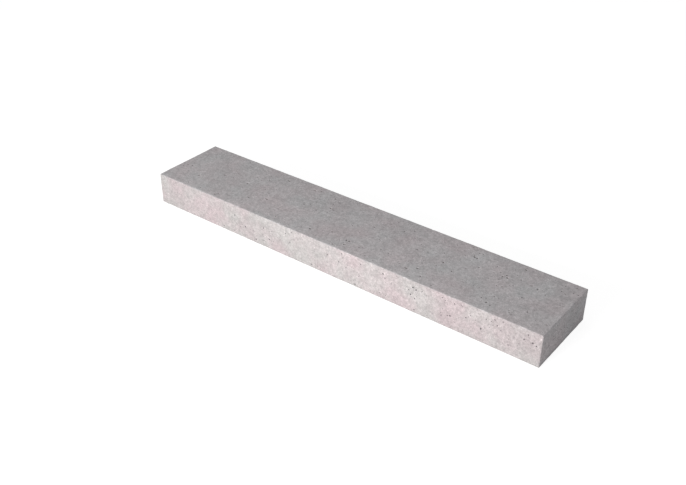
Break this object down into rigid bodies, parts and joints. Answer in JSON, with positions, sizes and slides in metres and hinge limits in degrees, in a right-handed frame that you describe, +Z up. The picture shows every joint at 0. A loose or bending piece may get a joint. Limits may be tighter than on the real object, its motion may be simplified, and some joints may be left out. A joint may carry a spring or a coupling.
{
  "type": "concrete step block",
  "caption": "Long rectangular solid concrete block laid as an outdoor step, with a flat tread, a square riser and lightly rounded edges.",
  "frame": {"origin": "middle of the bed, the face that the block lies on", "axes": "+X along the step, +Y from the riser face to the back face, +Z up to the tread"},
  "size_m": [2, 0.37, 0.15],
  "materials": {
    "concrete": "matte"
  },
  "bodies": {
    "root": {"step_block": "concrete"}
  },
  "joints": []
}
